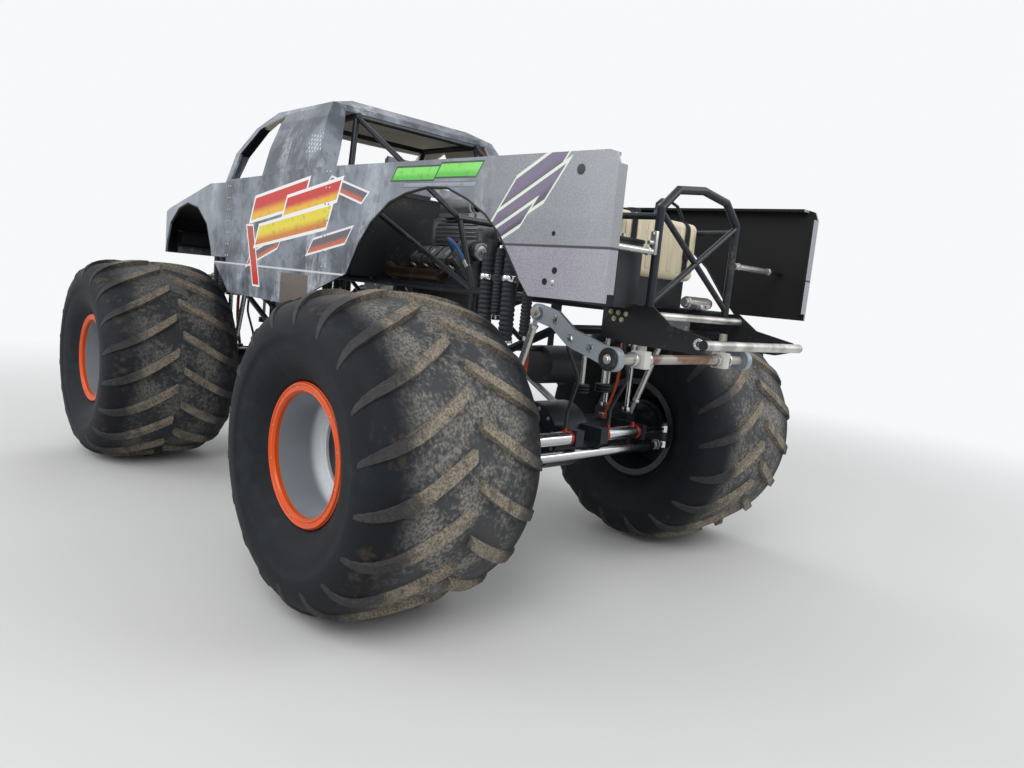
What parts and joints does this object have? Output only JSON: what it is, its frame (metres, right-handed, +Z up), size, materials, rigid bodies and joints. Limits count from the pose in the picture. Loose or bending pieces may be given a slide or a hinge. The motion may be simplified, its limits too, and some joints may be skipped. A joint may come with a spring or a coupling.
{
  "type": "monster truck",
  "caption": "Four-wheel-steer monster truck with a hollow pickup body on a tube frame, huge lugged tyres on two-piece rims, mid engine, long shocks and steering rams.",
  "frame": {"origin": "ground under the middle of the truck's box", "axes": "+X forward, +Y to the driver's left, +Z up"},
  "size_m": [5.8998, 3.6534, 2.975],
  "materials": {
    "tyre_rubber": "dusty, worn",
    "rim_alloy": "satin",
    "ring_orange": "gloss paint",
    "hub_grey": "satin",
    "frame_black": "satin black",
    "rod_chrome": "polished",
    "rod_steel": "bright",
    "body_wrap": "weathered printed wrap",
    "sheet_alloy": "dull sheet",
    "seat_cloth": "woven",
    "control_black": "matte",
    "engine_grey": "oily",
    "blower_alloy": "cast",
    "header_bronze": "heat blued",
    "shock_grey": "ribbed dark grey",
    "arm_alloy": "satin blue grey",
    "trim_black": "satin moulded",
    "hose_rubber": "braided, dusty",
    "tank_cream": "moulded"
  },
  "bodies": {
    "chassis": {"frame_lower": "frame_black", "roll_cage": "frame_black", "cross_bars": "frame_black", "tow_frames": "frame_black", "axles": "frame_black", "shocks": "shock_grey", "link_bars": "rod_steel", "sway_bars": "arm_alloy", "bedsides": "body_wrap", "body_cab": "body_wrap", "body_nose": "body_wrap", "nose_trim": "trim_black", "cab_floor": "sheet_alloy", "seat": "seat_cloth", "controls": "control_black", "engine": "engine_grey", "blower": "blower_alloy", "headers": "header_bronze", "driveline": "hub_grey", "fuel_tank": "tank_cream", "hoses": "hose_rubber"},
    "knuckle_rear_left": {"knuckle_rear_left": "frame_black"},
    "wheel_rear_left": {"tyre_rear_left": "tyre_rubber", "rim_rear_left": "rim_alloy", "ring_rear_left": "ring_orange", "hub_rear_left": "hub_grey"},
    "knuckle_rear_right": {"knuckle_rear_right": "frame_black"},
    "wheel_rear_right": {"tyre_rear_right": "tyre_rubber", "rim_rear_right": "rim_alloy", "ring_rear_right": "ring_orange", "hub_rear_right": "hub_grey"},
    "tie_rod_rear": {"tie_rod_rear": "rod_steel"},
    "ram_rods_rear": {"ram_rods_rear": "rod_chrome"},
    "knuckle_front_left": {"knuckle_front_left": "frame_black"},
    "wheel_front_left": {"tyre_front_left": "tyre_rubber", "rim_front_left": "rim_alloy", "ring_front_left": "ring_orange", "hub_front_left": "hub_grey"},
    "knuckle_front_right": {"knuckle_front_right": "frame_black"},
    "wheel_front_right": {"tyre_front_right": "tyre_rubber", "rim_front_right": "rim_alloy", "ring_front_right": "ring_orange", "hub_front_right": "hub_grey"},
    "tie_rod_front": {"tie_rod_front": "rod_steel"},
    "ram_rods_front": {"ram_rods_front": "rod_chrome"}
  },
  "joints": [
    {"name": "steer_rear_left", "type": "hinge", "parent": "chassis", "child": "knuckle_rear_left", "pos_m": [-1.57, 0.82, 0.838], "axis": [0, 0, 1], "range_deg": [-20, 20]},
    {"name": "roll_rear_left", "type": "hinge", "parent": "knuckle_rear_left", "child": "wheel_rear_left", "pos_m": [-1.57, 1.295, 0.838], "axis": [0, 1, 0], "continuous": true},
    {"name": "steer_rear_right", "type": "hinge", "parent": "chassis", "child": "knuckle_rear_right", "pos_m": [-1.57, -0.82, 0.838], "axis": [0, 0, 1], "range_deg": [-20, 20]},
    {"name": "roll_rear_right", "type": "hinge", "parent": "knuckle_rear_right", "child": "wheel_rear_right", "pos_m": [-1.57, -1.295, 0.838], "axis": [0, 1, 0], "continuous": true},
    {"name": "tie_rod_rear", "type": "hinge", "parent": "knuckle_rear_left", "child": "tie_rod_rear", "pos_m": [-1.895, 0.82, 0.785], "axis": [0, 0, 1], "range_deg": [-20, 20]},
    {"name": "ram_rods_rear", "type": "slide", "parent": "chassis", "child": "ram_rods_rear", "axis": [0, 1, 0], "range_m": [-0.112, 0.112]},
    {"name": "steer_front_left", "type": "hinge", "parent": "chassis", "child": "knuckle_front_left", "pos_m": [2.03, 0.82, 0.838], "axis": [0, 0, 1], "range_deg": [-20, 20]},
    {"name": "roll_front_left", "type": "hinge", "parent": "knuckle_front_left", "child": "wheel_front_left", "pos_m": [2.03, 1.295, 0.838], "axis": [0, 1, 0], "continuous": true},
    {"name": "steer_front_right", "type": "hinge", "parent": "chassis", "child": "knuckle_front_right", "pos_m": [2.03, -0.82, 0.838], "axis": [0, 0, 1], "range_deg": [-20, 20]},
    {"name": "roll_front_right", "type": "hinge", "parent": "knuckle_front_right", "child": "wheel_front_right", "pos_m": [2.03, -1.295, 0.838], "axis": [0, 1, 0], "continuous": true},
    {"name": "tie_rod_front", "type": "hinge", "parent": "knuckle_front_left", "child": "tie_rod_front", "pos_m": [2.355, 0.82, 0.785], "axis": [0, 0, 1], "range_deg": [-20, 20]},
    {"name": "ram_rods_front", "type": "slide", "parent": "chassis", "child": "ram_rods_front", "axis": [0, 1, 0], "range_m": [-0.112, 0.112]}
  ],
  "couplings": [
    {"joint": "steer_rear_right", "follows": "steer_rear_left", "ratio": 1},
    {"joint": "tie_rod_rear", "follows": "steer_rear_left", "ratio": -1},
    {"joint": "ram_rods_rear", "follows": "steer_rear_left", "m_per_rad": -0.318},
    {"joint": "steer_front_right", "follows": "steer_front_left", "ratio": 1},
    {"joint": "tie_rod_front", "follows": "steer_front_left", "ratio": -1},
    {"joint": "ram_rods_front", "follows": "steer_front_left", "m_per_rad": 0.318}
  ]
}
